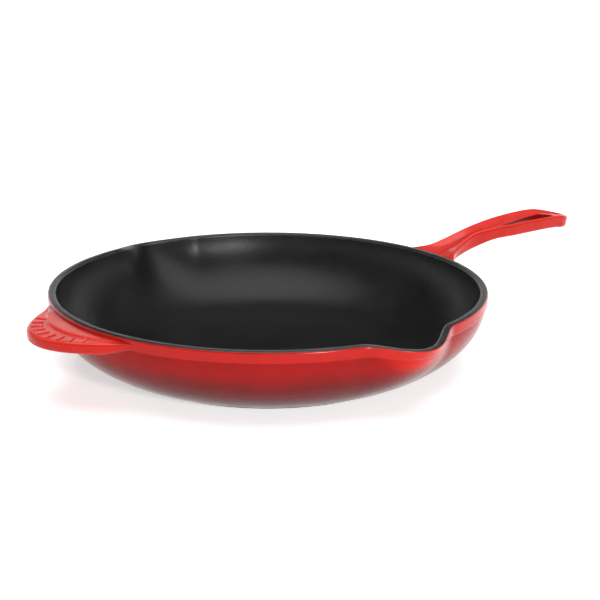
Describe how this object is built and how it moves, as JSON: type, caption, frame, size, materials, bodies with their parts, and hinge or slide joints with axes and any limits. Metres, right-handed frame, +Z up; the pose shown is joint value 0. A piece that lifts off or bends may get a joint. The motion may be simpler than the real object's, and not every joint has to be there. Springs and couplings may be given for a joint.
{
  "type": "cast iron skillet",
  "caption": "Round enamelled cast iron skillet with a long handle with a hanging hole, a short helper handle opposite it, and a pouring spout on each side.",
  "frame": {"origin": "centre of the flat base, on the surface that the skillet stands on", "axes": "+X along the long handle, from the bowl to the tip; +Y towards one pouring spout; +Z up"},
  "size_m": [0.4143, 0.2874, 0.0584],
  "materials": {
    "iron": "as cast, sealed under the enamel",
    "red_enamel": "glossy fired enamel",
    "graduated_red_enamel": "glossy fired enamel, bright red at the band and darker towards the base",
    "black_enamel": "black fired enamel, slightly worn-looking on the edge",
    "satin_black_enamel": "satin fired enamel with a fine orange peel",
    "base_enamel": "dark fired enamel, smooth"
  },
  "bodies": {
    "root": {"cast_floor": "iron", "cast_lower_wall_left": "iron", "cast_lower_wall_right": "iron", "cast_upper_wall_left": "iron", "cast_upper_wall_right": "iron", "cast_long_handle": "iron", "cast_helper_handle": "iron", "grip_ribs": "red_enamel", "base_enamel": "base_enamel", "wall_enamel": "graduated_red_enamel", "band_enamel": "red_enamel", "rim_enamel": "black_enamel", "interior_enamel": "satin_black_enamel", "long_handle_enamel": "red_enamel", "helper_handle_enamel": "red_enamel"}
  },
  "joints": []
}
